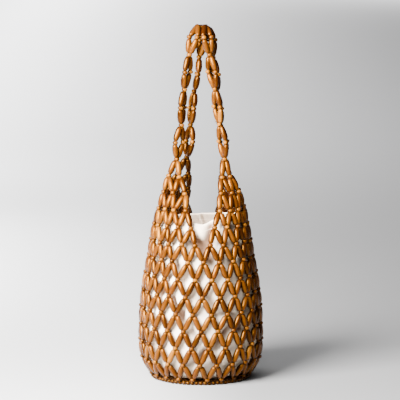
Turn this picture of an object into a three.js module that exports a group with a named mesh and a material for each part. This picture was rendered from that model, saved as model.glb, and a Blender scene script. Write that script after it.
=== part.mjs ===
// A bucket bag: a diamond net of wooden beads over a cloth liner, with two bead handles held up.
// Millimetres, +Z up, the front faces -Y. The bag stands on the bottom of its base at z = 0.
import * as THREE from 'three';

// Net
const COLUMNS = 22;
const STRAND_TAUT = 31.0;
const STRAND_SLACK = 27.2;
const STRAND_END_HALF = 2.2;
const STRAND_MID_HALF = 3.2;
const HANDLE_MID_HALF = 2.1;
const HANDLE_TOP_LEAN = 50;
const JUNCTION_HALF_DEPTH = 2.6;
const NARROWEST_CROTCH = 0.2;
const SPLIT_GAP = 0.3;
const NUDGE_ROUND = 1.5;
const NUDGE_UP = 1.0;
const SETTLE_ROUNDS = 160;

// Base and liner
const RING_RADIUS = 78.3;
const RING_BEAD = 6.6;
const MAT_RADIUS = 74.6;
const MAT_HEIGHT = 6.4;
const LINER_WALL = 1.8;
const ROUND_STEPS = 32;

// Junction rows from the base up: height, half width, half depth, turn about the axis in degrees,
// and how far the columns drift from front and back to the sides in degrees. Rows 13 to 5 go all
// round, rows 4 to 0 are the shoulders.
const ROWS = {
  13: [9.6, 80.4, 80.4, -1.1, 0],
  12: [35.0, 94.0, 94.0, -1.3, 0],
  11: [61.5, 96.2, 96.2, -0.6, 0],
  10: [88.7, 95.8, 95.8, -0.4, 0],
  9: [115.8, 94.5, 94.5, 1.0, 0.8],
  8: [143.1, 91.7, 91.7, 1.8, 1.8],
  7: [170.5, 87.2, 87.2, 2.5, 2.6],
  6: [197.5, 82.0, 82.0, 2.6, 2.6],
  5: [223.5, 78.0, 75.0, 2.6, 1.0],
  4: [249.5, 73.5, 64.5, 0, 0],
  3: [274.5, 69.0, 53.0, 0, 0],
  2: [300.7, 64.0, 40.0, 0, 0],
  1: [325.1, 58.0, 26.0, 0, 0],
  0: [352.8, 53.7, 15.0, 0, 0],
};
const LAST_FULL_ROW = 5;
const BASE_ROW = 13;

// Shoulders in order round the bag: the angle that they are measured from in degrees (front 0,
// back 180), their sense from there, the junction of the last full row that they start from, and
// for each row from 4 to 0 the angle of its middle and the step between its junctions.
const SHOULDERS = [
  {
    name: 'shoulder_front_right',
    from: 0,
    sense: 1,
    first: 0,
    fans: { 4: [50.8, 16.6], 3: [50.5, 16.8], 2: [49.0, 18.2], 1: [43.0, 18.0], 0: [44.4, 0] },
  },
  {
    name: 'shoulder_back_right',
    from: 180,
    sense: -1,
    first: 5,
    fans: { 4: [53.7, 16.1], 3: [54.9, 16.9], 2: [49.0, 18.5], 1: [43.6, 17.8], 0: [44.4, 0] },
  },
  {
    name: 'shoulder_back_left',
    from: 180,
    sense: 1,
    first: 11,
    fans: { 4: [45.4, 16.2], 3: [43.3, 15.6], 2: [34.7, 16.8], 1: [30.4, 19.2], 0: [24.9, 0] },
  },
  {
    name: 'shoulder_front_left',
    from: 0,
    sense: -1,
    first: 16,
    fans: { 4: [46.5, 17.6], 3: [45.6, 17.6], 2: [43.6, 21.5], 1: [48.6, 25.6], 0: [45.2, 0] },
  },
];

// Stations of a handle from its left shoulder to its right one: x, y, z, half spread and turn of the
// pair in degrees. A spread of 0 is a single junction.
const FRONT_STATIONS = [
  [-35.0, -9.5, 379.5, 8.5, 45],
  [-31.4, -9.0, 407.0, 0, 0],
  [-30.0, -9.0, 435.0, 7.0, 66],
  [-26.7, -8.5, 463.5, 0, 0],
  [-21.5, -8.0, 491.5, 7.0, 53],
  [-18.4, -7.0, 519.0, 0, 0],
  [-11.6, -6.5, 546.5, 7.0, -30],
  [1.5, 12.0, 564.5, 0, 0],
  [10.2, -9.0, 546.5, 7.0, 30],
  [14.0, -6.0, 519.0, 0, 0],
  [17.8, -7.0, 492.0, 7.5, -38],
  [23.0, -8.0, 464.5, 0, 0],
  [26.5, -8.5, 436.5, 7.2, -48],
  [30.5, -9.0, 408.5, 0, 0],
  [35.0, -9.5, 380.5, 8.5, -52],
];
const BACK_STATIONS = [
  [-17.7, 10.0, 379.0, 8.5, -52],
  [-16.0, 9.0, 405.5, 0, 0],
  [-13.8, 9.0, 432.5, 7.0, -62],
  [-10.0, 9.0, 459.5, 0, 0],
  [-4.5, 9.0, 487.0, 7.0, -84],
  [-2.0, 8.5, 514.0, 0, 0],
  [3.5, 5.5, 541.0, 6.8, -50],
  [7.8, 27.5, 559.5, 0, 0],
  [18.5, 10.5, 540.5, 6.8, 60],
  [18.8, 9.0, 513.0, 0, 0],
  [21.5, 9.0, 485.5, 7.2, 36],
  [25.0, 9.0, 458.0, 0, 0],
  [28.0, 9.5, 431.0, 7.0, 50],
  [31.0, 10.0, 404.5, 0, 0],
  [35.5, 12.0, 378.5, 8.5, 50],
];

// Liner rings from the bottom up: height, half width and half depth of the outer face
const LINER_RINGS = [
  [6.8, 60.0, 60.0],
  [11.0, 69.5, 69.5],
  [35.0, 85.6, 85.6],
  [61.5, 89.4, 89.4],
  [88.7, 89.4, 89.4],
  [143.1, 84.8, 84.8],
  [195.0, 75.4, 75.4],
  [222.0, 70.0, 67.0],
  [255.5, 65.0, 56.0],
];

const WOOD = '#b9803f';
const CLOTH = '#e9e2d6';

// Even spread of a number pair between -1 and 1, for the small unevenness of a hand-strung net
function unevenness(first, second) {
  const wave = Math.sin(first * 12.9898 + second * 78.233) * 43758.5453;
  return 2 * (wave - Math.floor(wave)) - 1;
}

// The net as junctions and strands

class Net {
  constructor() {
    this.junctions = [];
    this.strands = [];
    this.names = new Map();
  }

  junction(name, owner, place, outward, pinned) {
    this.names.set(name, this.junctions.length);
    this.junctions.push({ owner, place, outward: outward.normalize(), pinned, ends: [] });
  }

  strand(first, second, midHalf) {
    this.strands.push({ first: this.names.get(first), second: this.names.get(second), midHalf });
  }

  // Bring every strand between its slack and its taut length
  settle(rounds) {
    for (let round = 0; round < rounds; round += 1) {
      for (const { first, second } of this.strands) {
        const a = this.junctions[first];
        const b = this.junctions[second];
        const apart = b.place.clone().sub(a.place);
        const wanted = THREE.MathUtils.clamp(apart.length(), STRAND_SLACK, STRAND_TAUT);
        const excess = 1 - wanted / apart.length();
        const share = a.pinned || b.pinned ? 1 : 0.5;
        if (!a.pinned) a.place.addScaledVector(apart, 0.5 * share * excess);
        if (!b.pinned) b.place.addScaledVector(apart, -0.5 * share * excess);
      }
    }
  }
}

function columnAngle(row, column) {
  const [, , , turn, drift] = ROWS[row];
  const even = (column * 2 * Math.PI) / COLUMNS;
  return even + THREE.MathUtils.degToRad(turn + drift * Math.sin(2 * even));
}

function shoulderAngle({ from, sense, fans }, row, index) {
  const [middle, step] = fans[row];
  return THREE.MathUtils.degToRad(from + sense * middle + (index - row / 2) * step);
}

function ringPlace(row, angle, column, uneven) {
  const [height, halfWidth, halfDepth] = ROWS[row];
  const round = angle + (uneven * NUDGE_ROUND * unevenness(row, column)) / halfWidth;
  const z = height + uneven * NUDGE_UP * unevenness(column, row + 40);
  return new THREE.Vector3(halfWidth * Math.sin(round), -halfDepth * Math.cos(round), z);
}

function ringOutward(row, angle) {
  const [, halfWidth, halfDepth] = ROWS[row];
  return new THREE.Vector3(Math.sin(angle) / halfWidth, -Math.cos(angle) / halfDepth, 0);
}

// Column 0 is the middle of the front. The front half takes the columns from the left to the right.
function halfOf(column) {
  const turned = (column + COLUMNS) % COLUMNS;
  return turned <= COLUMNS / 4 || turned >= (3 * COLUMNS) / 4 ? 'net_front' : 'net_back';
}

function addBodyNet(net) {
  for (let row = BASE_ROW; row >= LAST_FULL_ROW; row -= 1) {
    const lean = row % 2 === 0 ? 0 : 0.5;
    const uneven = row === BASE_ROW ? 0 : 1;
    for (let index = 0; index < COLUMNS; index += 1) {
      const column = index + lean;
      const angle = columnAngle(row, column);
      const place = ringPlace(row, angle, column, uneven);
      net.junction(`${row}:${index}`, halfOf(column), place, ringOutward(row, angle), !uneven);
    }
    if (row === BASE_ROW) continue;
    for (let index = 0; index < COLUMNS; index += 1) {
      const other = (index + (lean ? 1 : COLUMNS - 1)) % COLUMNS;
      net.strand(`${row + 1}:${index}`, `${row}:${index}`, STRAND_MID_HALF);
      net.strand(`${row + 1}:${other}`, `${row}:${index}`, STRAND_MID_HALF);
    }
  }
}

function addShoulders(net) {
  SHOULDERS.forEach((shoulder, number) => {
    for (let row = LAST_FULL_ROW - 1; row >= 0; row -= 1) {
      for (let index = 0; index <= row; index += 1) {
        const angle = shoulderAngle(shoulder, row, index);
        const place = ringPlace(row, angle, 6 * number + index, row ? 1 : 0);
        const name = `${row}:${number}:${index}`;
        net.junction(name, shoulder.name, place, ringOutward(row, angle), row === 0);
        for (const below of [index, index + 1]) {
          const full = row === LAST_FULL_ROW - 1;
          const ringName = `${LAST_FULL_ROW}:${shoulder.first + below}`;
          net.strand(full ? ringName : `${row + 1}:${number}:${below}`, name, STRAND_MID_HALF);
        }
      }
    }
  });
}

function addHandle(net, owner, stations, left, right) {
  const top = (stations.length - 1) / 2;
  let before = [`0:${left}:0`];
  stations.forEach(([x, y, z, spread, turn], number) => {
    const near = (offset) => stations[THREE.MathUtils.clamp(number + offset, 0, stations.length - 1)][4];
    const facing = THREE.MathUtils.degToRad(spread ? turn : (near(-1) + near(1)) / 2);
    const across = new THREE.Vector3(Math.cos(facing), Math.sin(facing), 0);
    const lean = THREE.MathUtils.degToRad(number === top ? HANDLE_TOP_LEAN : 0);
    const outward = new THREE.Vector3(Math.sin(facing), -Math.cos(facing), Math.tan(lean));
    const sides = spread ? [-1, 1] : [0];
    const here = sides.map((side) => `${owner}:${number}:${side}`);
    sides.forEach((side, place) => {
      const spot = new THREE.Vector3(x, y, z).addScaledVector(across, side * spread);
      net.junction(here[place], owner, spot, outward.clone(), true);
    });
    for (const low of before) for (const high of here) net.strand(low, high, HANDLE_MID_HALF);
    before = here;
  });
  for (const low of before) net.strand(low, `0:${right}:0`, HANDLE_MID_HALF);
}

// Solid of one owner: each strand is a four-sided spindle, and each junction joins its strands

class Shell {
  constructor() {
    this.points = [];
    this.faces = [];
  }

  add(point) {
    this.points.push(point.x, point.y, point.z);
    return this.points.length / 3 - 1;
  }

  quad(a, b, c, d) {
    this.faces.push(a, b, c, a, c, d);
  }

  between(low, high) {
    for (let side = 0; side < 4; side += 1) {
      const next = (side + 1) % 4;
      this.quad(low[next], low[side], high[side], high[next]);
    }
  }

  geometry() {
    const geometry = new THREE.BufferGeometry();
    geometry.setAttribute('position', new THREE.Float32BufferAttribute(this.points, 3));
    geometry.setIndex(this.faces);
    geometry.computeVertexNormals();
    return geometry;
  }
}

// Crotch points between the strands that meet at a junction, outer and inner
function crotches(junction) {
  const { place, outward, ends } = junction;
  const across = new THREE.Vector3(0, 0, 1).cross(outward).normalize();
  const up = outward.clone().cross(across);
  for (const end of ends) end.angle = Math.atan2(end.toward.dot(up), end.toward.dot(across));
  ends.sort((first, second) => first.angle - second.angle);
  return ends.map((end, index) => {
    const next = ends[(index + 1) % ends.length];
    const opening = (next.angle - end.angle + 4 * Math.PI) % (2 * Math.PI) || 2 * Math.PI;
    const middle = end.angle + opening / 2;
    const narrow = opening < Math.PI ? Math.max(Math.sin(opening / 2), NARROWEST_CROTCH) : 1;
    const reach = STRAND_END_HALF / narrow;
    const spot = place.clone().addScaledVector(across, reach * Math.cos(middle));
    spot.addScaledVector(up, reach * Math.sin(middle));
    const outer = spot.clone().addScaledVector(outward, JUNCTION_HALF_DEPTH);
    const inner = spot.clone().addScaledVector(outward, -JUNCTION_HALF_DEPTH);
    return [outer, inner];
  });
}

// Four corners round the middle of a strand: left outer, left inner, right inner, right outer,
// seen from its first end
function middleCorners(first, second, midHalf, offset) {
  const along = second.place.clone().sub(first.place).normalize();
  const outward = first.outward.clone();
  outward.addScaledVector(second.outward, outward.dot(second.outward) < 0 ? -1 : 1);
  outward.addScaledVector(along, -outward.dot(along)).normalize();
  const left = outward.clone().cross(along);
  const middle = first.place.clone().lerp(second.place, 0.5).addScaledVector(along, offset);
  const corner = (side, depth) => {
    const spot = middle.clone().addScaledVector(left, side * midHalf);
    return spot.addScaledVector(outward, depth * STRAND_MID_HALF);
  };
  return [corner(1, 1), corner(1, -1), corner(-1, -1), corner(-1, 1)];
}

function netGeometry(net, owner) {
  const shell = new Shell();
  for (const junction of net.junctions) {
    if (junction.owner !== owner) continue;
    const pairs = crotches(junction).map((pair) => pair.map((point) => shell.add(point)));
    junction.ends.forEach((end, index) => {
      const right = pairs[(index + pairs.length - 1) % pairs.length];
      end.corners = [pairs[index][0], pairs[index][1], right[1], right[0]];
    });
    for (let index = 2; index < pairs.length; index += 1) {
      shell.faces.push(pairs[0][0], pairs[index - 1][0], pairs[index][0]);
      shell.faces.push(pairs[0][1], pairs[index][1], pairs[index - 1][1]);
    }
  }
  for (const strand of net.strands) {
    const first = net.junctions[strand.first];
    const second = net.junctions[strand.second];
    const low = first.owner === owner ? strand.firstEnd.corners : null;
    const high = second.owner === owner ? strand.secondEnd.corners : null;
    const offset = low && high ? 0 : (low ? -SPLIT_GAP : SPLIT_GAP) / 2;
    if (!low && !high) continue;
    const middle = middleCorners(first, second, strand.midHalf, offset).map((point) => shell.add(point));
    const flipped = high && [high[3], high[2], high[1], high[0]];
    const turned = high && [high[1], high[0], high[3], high[2]];
    const facing = first.outward.dot(second.outward) < 0 ? turned : flipped;
    if (low) shell.between(low, middle);
    if (high) shell.between(middle, facing);
    if (!high) shell.quad(middle[3], middle[2], middle[1], middle[0]);
    if (!low) shell.quad(...middle);
  }
  return shell.geometry();
}

// Rings joined from first to last, open at both ends
function joinRings(shell, rings) {
  for (let level = 1; level < rings.length; level += 1) {
    for (let step = 0; step < ROUND_STEPS; step += 1) {
      const next = (step + 1) % ROUND_STEPS;
      shell.quad(rings[level - 1][step], rings[level - 1][next], rings[level][next], rings[level][step]);
    }
  }
}

function ringOf(shell, height, halfWidth, halfDepth) {
  return Array.from({ length: ROUND_STEPS }, (_, step) => {
    const angle = (step * 2 * Math.PI) / ROUND_STEPS;
    return shell.add(new THREE.Vector3(halfWidth * Math.cos(angle), halfDepth * Math.sin(angle), height));
  });
}

function linerGeometry() {
  const shell = new Shell();
  const outer = LINER_RINGS.map(([height, wide, deep]) => ringOf(shell, height, wide, deep));
  const last = LINER_RINGS.length - 1;
  const inner = LINER_RINGS.map(([height, wide, deep], level) => {
    const lift = level === last ? 0 : LINER_WALL * Math.max(0, 1 - level / 3);
    return ringOf(shell, height + lift, wide - LINER_WALL, deep - LINER_WALL);
  }).reverse();
  joinRings(shell, [...outer, ...inner]);
  const under = shell.add(new THREE.Vector3(0, 0, LINER_RINGS[0][0]));
  const floor = shell.add(new THREE.Vector3(0, 0, LINER_RINGS[0][0] + LINER_WALL));
  for (let step = 0; step < ROUND_STEPS; step += 1) {
    const next = (step + 1) % ROUND_STEPS;
    shell.faces.push(under, outer[0][next], outer[0][step]);
    shell.faces.push(floor, inner[last][step], inner[last][next]);
  }
  return shell.geometry();
}

function baseRingGeometry() {
  const half = RING_BEAD / 2;
  const chamfer = half * 0.42;
  const section = [
    [RING_RADIUS - chamfer, 0],
    [RING_RADIUS + chamfer, 0],
    [RING_RADIUS + half, half],
    [RING_RADIUS + chamfer, RING_BEAD],
    [RING_RADIUS - chamfer, RING_BEAD],
    [RING_RADIUS - half, half],
    [RING_RADIUS - chamfer, 0],
  ].map(([radius, height]) => new THREE.Vector2(radius, height));
  return new THREE.LatheGeometry(section, ROUND_STEPS).rotateX(Math.PI / 2);
}

function baseMatGeometry() {
  return new THREE.CylinderGeometry(MAT_RADIUS, MAT_RADIUS, MAT_HEIGHT, ROUND_STEPS).rotateX(Math.PI / 2)
    .translate(0, 0, MAT_HEIGHT / 2);
}

const net = new Net();
addBodyNet(net);
addShoulders(net);
net.settle(SETTLE_ROUNDS);
addHandle(net, 'handle_front', FRONT_STATIONS, 3, 0);
addHandle(net, 'handle_back', BACK_STATIONS, 2, 1);
for (const strand of net.strands) {
  const first = net.junctions[strand.first];
  const second = net.junctions[strand.second];
  strand.firstEnd = { toward: second.place.clone().sub(first.place) };
  strand.secondEnd = { toward: first.place.clone().sub(second.place) };
  first.ends.push(strand.firstEnd);
  second.ends.push(strand.secondEnd);
}

const bag = new THREE.Group();
function piece(name, geometry, color, roughness) {
  const material = new THREE.MeshStandardMaterial({ color, roughness });
  const mesh = new THREE.Mesh(geometry, material);
  mesh.name = name;
  bag.add(mesh);
}
piece('base_mat', baseMatGeometry(), WOOD, 0.45);
piece('base_ring', baseRingGeometry(), WOOD, 0.45);
piece('net_front', netGeometry(net, 'net_front'), WOOD, 0.45);
piece('net_back', netGeometry(net, 'net_back'), WOOD, 0.45);
for (const { name } of SHOULDERS) piece(name, netGeometry(net, name), WOOD, 0.45);
piece('handle_front', netGeometry(net, 'handle_front'), WOOD, 0.45);
piece('handle_back', netGeometry(net, 'handle_back'), WOOD, 0.45);
piece('liner', linerGeometry(), CLOTH, 0.9);

export default bag;
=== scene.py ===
"""Bucket bag: a diamond net of turned wooden beads round a cloth liner, with two bead handles."""
import logging
import math
from collections import defaultdict
from collections.abc import Callable, Sequence
from dataclasses import dataclass, field
from enum import Enum
from typing import Any, Union

import bpy
import numpy as np
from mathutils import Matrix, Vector


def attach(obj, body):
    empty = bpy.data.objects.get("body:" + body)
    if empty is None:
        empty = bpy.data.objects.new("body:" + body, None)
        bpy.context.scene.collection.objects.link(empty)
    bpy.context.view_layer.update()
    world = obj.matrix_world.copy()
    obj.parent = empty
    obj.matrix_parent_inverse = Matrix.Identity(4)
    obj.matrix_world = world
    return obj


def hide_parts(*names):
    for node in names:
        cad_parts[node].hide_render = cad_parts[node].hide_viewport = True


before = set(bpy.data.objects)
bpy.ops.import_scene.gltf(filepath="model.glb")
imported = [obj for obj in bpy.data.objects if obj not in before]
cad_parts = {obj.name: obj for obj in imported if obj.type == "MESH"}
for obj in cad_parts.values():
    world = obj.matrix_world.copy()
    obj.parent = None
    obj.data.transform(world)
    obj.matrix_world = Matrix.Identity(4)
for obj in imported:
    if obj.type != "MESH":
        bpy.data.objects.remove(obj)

LOG = logging.getLogger("bead_bag")
MM = 0.001

Material, Mesh, Piece = bpy.types.Material, bpy.types.Mesh, bpy.types.Object
Colour = tuple[float, float, float]
BeadEnd = tuple[int, int]
Floats = np.ndarray
Value = Union["Signal", float, int]


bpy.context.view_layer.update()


def unit(vector: Floats) -> Floats:
    """A vector at length one."""
    return vector / np.linalg.norm(vector)


def rgba(colour: Colour) -> tuple[float, float, float, float]:
    """An opaque colour for a colour socket."""
    return (*colour, 1.0)


# Finishes


def maths(operation: str, swapped: bool = False) -> Callable[..., "Signal"]:
    """Operator of a signal that adds one Math node.

    Args:
        operation: Blender's name of the operation.
        swapped: Whether the signal comes after the other value.

    Returns:
        The method.
    """

    def operate(self: "Signal", *others: Value) -> "Signal":
        """Result of the operation on this value and the others."""
        values = (*others, self) if swapped else (self, *others)
        return self.bench.node("ShaderNodeMath", {"operation": operation}, dict(enumerate(values)))

    return operate


@dataclass(frozen=True)
class Signal:
    """One socket of a finish, with the operators of shader maths.

    Attributes:
        bench: The finish that the socket belongs to.
        socket: The output that carries the value.
    """

    bench: "Bench"
    socket: bpy.types.NodeSocket

    __add__ = __radd__ = maths("ADD")
    __sub__ = maths("SUBTRACT")
    __rsub__ = maths("SUBTRACT", swapped=True)
    __mul__ = __rmul__ = maths("MULTIPLY")
    sine = maths("SINE")
    part = maths("FRACT")
    size = maths("ABSOLUTE")
    most = maths("MAXIMUM")

    def fade(self, start: float, end: float) -> "Signal":
        """Smooth rise from 0 at start to 1 at end.

        Args:
            start: Value that gives 0.
            end: Value that gives 1.

        Returns:
            The share between them, held at both ends.
        """
        settings = {"interpolation_type": "SMOOTHSTEP", "clamp": True}
        return self.bench.node("ShaderNodeMapRange", settings, {0: self, 1: start, 2: end, 3: 0.0, 4: 1.0})


class Bench:
    """Node tree of one finish and the few ways that its nodes are made."""

    def __init__(self, name: str) -> None:
        """Start an empty finish.

        Args:
            name: Plain name of the finish.
        """
        self.material = bpy.data.materials.new(name)
        self.material.use_nodes = True
        self.tree = self.material.node_tree
        self.tree.nodes.clear()

    def node(self, kind: str, settings: dict[str, Any] | None = None,
             inputs: dict[int | str, Any] | None = None, output: int | str = 0) -> Signal:
        """Add one node.

        Args:
            kind: Blender's name of the node type.
            settings: Attributes set before the sockets.
            inputs: Numbers, colours or signals by socket name or number.
            output: Socket that the signal reads.

        Returns:
            The chosen output, or the first input of a node without outputs.
        """
        made = self.tree.nodes.new(kind)
        for key, value in (settings or {}).items():
            setattr(made, key, value)
        for key, value in (inputs or {}).items():
            if isinstance(value, Signal):
                self.tree.links.new(value.socket, made.inputs[key])
            else:
                made.inputs[key].default_value = value
        return Signal(self, made.outputs[output] if made.outputs else made.inputs[0])

    def attribute(self, name: str, output: str = "Vector") -> Signal:
        """Value that the mesh carries at each point."""
        return self.node("ShaderNodeAttribute", {"attribute_name": name}, output=output)

    def split(self, vector: Signal, direction: str) -> Signal:
        """One direction of a vector."""
        return self.node("ShaderNodeSeparateXYZ", {}, {0: vector}, direction)

    def noise(self, vector: Signal, scale: float | Colour, detail: float, distortion: float = 0.0) -> Signal:
        """Soft random value.

        Args:
            vector: Place on the surface.
            scale: Features in one unit of the place, the same or its own in each direction.
            detail: Layers of finer noise.
            distortion: How far the noise is stirred.

        Returns:
            A value about 0.5, from 0 to 1.
        """
        if isinstance(scale, tuple):
            stretched = {0: vector, 1: scale}
            vector, scale = self.node("ShaderNodeVectorMath", {"operation": "MULTIPLY"}, stretched), 1.0
        inputs = {"Vector": vector, "Scale": scale, "Detail": detail, "Distortion": distortion}
        return self.node("ShaderNodeTexNoise", {}, inputs)

    def blend(self, share: Value, first: Any, second: Any) -> Signal:
        """Mix of two colours.

        Args:
            share: How much of the second.
            first: Colour at share 0.
            second: Colour at share 1.

        Returns:
            The mixed colour.
        """
        return self.node("ShaderNodeMix", {"data_type": "RGBA"}, {0: share, 6: first, 7: second}, 2)

    def relief(self, height: Signal, strength: float, depth: float) -> Signal:
        """Bump of a height, in metres of depth."""
        return self.node("ShaderNodeBump", {}, {"Strength": strength, "Distance": depth, "Height": height})

    def close(self, sockets: dict[str, Any]) -> Material:
        """Finish the tree with its surface shader.

        Args:
            sockets: Values or signals of the surface shader.

        Returns:
            The finished material.
        """
        surface = self.node("ShaderNodeBsdfPrincipled", {}, sockets)
        self.node("ShaderNodeOutputMaterial", {}, {0: surface})
        return self.material


@dataclass(frozen=True)
class BeadWood:
    """Turned wood with a satin varnish: long grain, pores and one tone to each bead, with painted shade on
    the sides turned away from the bag's outside and at the bead ends.
    """

    name: str = "bead_wood"
    blond: Colour = (0.190, 0.068, 0.005)
    pale: Colour = (0.076, 0.0235, 0.0018)
    middle: Colour = (0.038, 0.0098, 0.0009)
    # dark is the wood of low-toned beads and of the pores, and also the colour of the painted shade on the
    # bead sides and ends.
    dark: Colour = (0.007, 0.0012, 0.0002)
    rosy: Colour = (0.060, 0.0135, 0.0025)
    shine: Colour = (1.0, 0.40, 0.05)
    gloss: float = 0.25

    def make(self) -> Material:
        """Material of the beads."""
        bench = Bench(self.name)
        grain = bench.attribute("grain")
        tone = bench.attribute("tone", "Fac")
        edge = bench.attribute("edge", "Fac")
        side = bench.attribute("side", "Fac")
        rings = bench.noise(grain, (0.30, 0.30, 0.022), 1.5, 0.25)
        figure = 0.5 + 0.5 * (rings * 62.0).sine()
        fibre = bench.noise(grain, (3.2, 3.2, 0.16), 3.0)
        blush = bench.noise(grain, (0.05, 0.05, 0.03), 2.0)
        light = (0.42 + 0.30 * tone + 0.22 * (figure - 0.5) + 0.5 * (fibre - 0.5)).fade(0.0, 1.0)
        colour = bench.blend(light, rgba(self.middle), rgba(self.pale))
        colour = bench.blend(blush.fade(0.5, 0.8) * 0.55, colour, rgba(self.rosy))
        colour = bench.blend(tone.fade(0.8, 1.9) * 0.8, colour, rgba(self.blond))
        depth = (tone * -1.0).fade(0.35, 1.15) * 0.66
        pores = fibre.fade(0.58, 0.76) * 0.34
        # Painted shade at the bead ends, where they meet the next bead.
        painted_end_shade = edge.fade(0.80, 1.0) * 0.6
        # Painted shade on the sides of each bead turned away from the bag's outside.
        dark_wood_and_painted_side_shade = side.fade(0.11, 0.44) * 0.88
        colour = bench.blend(depth.most(pores).most(painted_end_shade).most(dark_wood_and_painted_side_shade), colour, rgba(self.dark))
        rough = self.gloss + 0.16 * (fibre - 0.5) + 0.16 * edge.fade(0.8, 1.0)
        height = 0.4 * figure + fibre
        sockets = {
            "Base Color": colour,
            "Roughness": rough,
            "Normal": bench.relief(height, 0.20, 0.0003),
            "Specular Tint": rgba(self.shine),
            "Specular IOR Level": 0.50,
            "IOR": 1.48,
        }
        return bench.close(sockets)


# Darker wood for the base ring and the mat.
DARKER_BASE_WOOD = BeadWood("darker_base_wood", pale=(0.024, 0.0072, 0.0006), middle=(0.013, 0.0035, 0.0003),
                        gloss=0.4)


@dataclass(frozen=True)
class TwistedCord:
    """Brown waxed cord that the beads are strung on."""

    name: str = "bead_cord"
    colour: Colour = (0.012, 0.003, 0.0008)
    worn: Colour = (0.030, 0.009, 0.002)

    def make(self) -> Material:
        """Material of the cord."""
        bench = Bench(self.name)
        grain = bench.attribute("grain")
        turn = bench.split(grain, "X") * 2.4 + bench.split(grain, "Z") * 4.2
        strand = 0.5 + 0.5 * turn.sine()
        fuzz = bench.noise(grain, 3.0, 3.0)
        colour = bench.blend(strand * fuzz, rgba(self.colour), rgba(self.worn))
        sockets = {
            "Base Color": colour,
            "Roughness": 0.55 + 0.3 * fuzz,
            "Normal": bench.relief(strand, 0.5, 0.0003),
        }
        return bench.close(sockets)


@dataclass(frozen=True)
class LinerCloth:
    """Plain woven off-white cotton with slubs and a stitched hem, with painted shade in its folds and on its
    inner face.
    """

    name: str = "liner_cotton"
    cream: Colour = (0.955, 0.785, 0.605)
    shade: Colour = (0.880, 0.700, 0.525)
    thread: Colour = (0.920, 0.770, 0.600)
    painted_fold_shade: Colour = (0.190, 0.102, 0.058)
    pitch: float = 0.62
    hem: float = 11.0
    stitch: float = 3.2
    sheen: float = 0.18

    def make(self) -> Material:
        """Material of the liner."""
        bench = Bench(self.name)
        weave = bench.attribute("weave")
        round_way = bench.split(weave, "X")
        up_way = bench.split(weave, "Y")
        turns = 2.0 * math.pi / self.pitch
        warp = (round_way * turns).sine()
        weft = (up_way * turns).sine()
        threads = warp * weft
        slub = bench.noise(weave, (0.9, 0.07, 1.0), 3.0)
        slub = slub + bench.noise(weave, (0.06, 0.8, 1.0), 3.0) - 0.5
        patch = bench.noise(weave, (0.021, 0.027, 1.0), 3.0)
        off_row = (up_way - self.hem).size()
        dash = (round_way * (1.0 / self.stitch)).part()
        stitched = (1.0 - off_row.fade(0.25, 0.6)) * (1.0 - (dash - 0.5).size().fade(0.30, 0.40))
        tint = (0.35 + 0.55 * (patch - 0.5) + 0.6 * (slub - 0.5) + 0.05 * threads).fade(0.0, 1.0)
        colour = bench.blend(tint * 0.6, rgba(self.cream), rgba(self.shade))
        # Painted shade: darker deep in the folds and on the inner face.
        colour = bench.blend(bench.attribute("fold", "Fac"), colour, rgba(self.painted_fold_shade))
        colour = bench.blend(stitched, colour, rgba(self.thread))
        pucker = 1.0 - off_row.fade(0.2, 2.2)
        height = 0.30 * threads + 0.8 * slub + 1.5 * stitched - 1.4 * pucker
        sockets = {
            "Base Color": colour,
            "Roughness": 0.86 + 0.12 * (slub - 0.5),
            "Normal": bench.relief(height, 0.35, 0.0004),
            "Sheen Weight": self.sheen,
            "Sheen Roughness": 0.45,
            "Specular IOR Level": 0.25,
        }
        return bench.close(sockets)


@dataclass(frozen=True)
class StudioPaper:
    """Grey matt paper of the studio floor, with a painted pool of light to the left of the bag, fading out
    far behind it.
    """

    name: str = "studio_paper"
    colour: Colour = (0.180, 0.180, 0.182)
    mottle: Colour = (0.175, 0.175, 0.177)
    # Colour of the painted light on the floor.
    lighter: Colour = (0.360, 0.360, 0.362)

    def make(self) -> Material:
        """Material of the floor."""
        bench = Bench(self.name)
        place = bench.node("ShaderNodeTexCoord", {}, {}, "Object")
        cloud = bench.noise(place, 6.0, 3.0)
        tooth = bench.noise(place, 900.0, 2.0)
        colour = bench.blend(cloud, rgba(self.colour), rgba(self.mottle))
        # Painted light: the floor is lighter to the left, fading out toward the back.
        left = 1.0 - bench.split(place, "X").fade(-0.14, 0.10)
        near = 1.0 - bench.split(place, "Y").fade(0.5, 3.4)
        colour = bench.blend(left * near, colour, rgba(self.lighter))
        sockets = {
            "Base Color": colour,
            "Roughness": 0.7 + 0.1 * tooth,
            "Normal": bench.relief(tooth, 0.05, 0.0002),
            "Specular IOR Level": 0.2,
        }
        return bench.close(sockets)


class Slot(Enum):
    """Material slots of the record."""

    WOOD = "wood_bead"
    CLOTH = "liner_cloth"


# Beads


def tube_faces(rows: int, steps: int) -> tuple[Floats, Floats]:
    """Faces of a tube of points with closed ends.

    Args:
        rows: Rings of points along it.
        steps: Points of each ring.

    Returns:
        Point numbers of every face in turn, and the corners of each face.
    """
    row, step = np.meshgrid(np.arange(rows - 1), np.arange(steps), indexing="ij")
    after = (step + 1) % steps
    low, high = row * steps, (row + 1) * steps
    quads = np.stack([low + step, low + after, high + after, high + step], axis=-1).reshape(-1, 4)
    ends = np.concatenate([np.arange(steps)[::-1], (rows - 1) * steps + np.arange(steps)])
    sizes = np.concatenate([np.full(len(quads), 4), np.full(2, steps)])
    return np.concatenate([quads.ravel(), ends]), sizes


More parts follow.
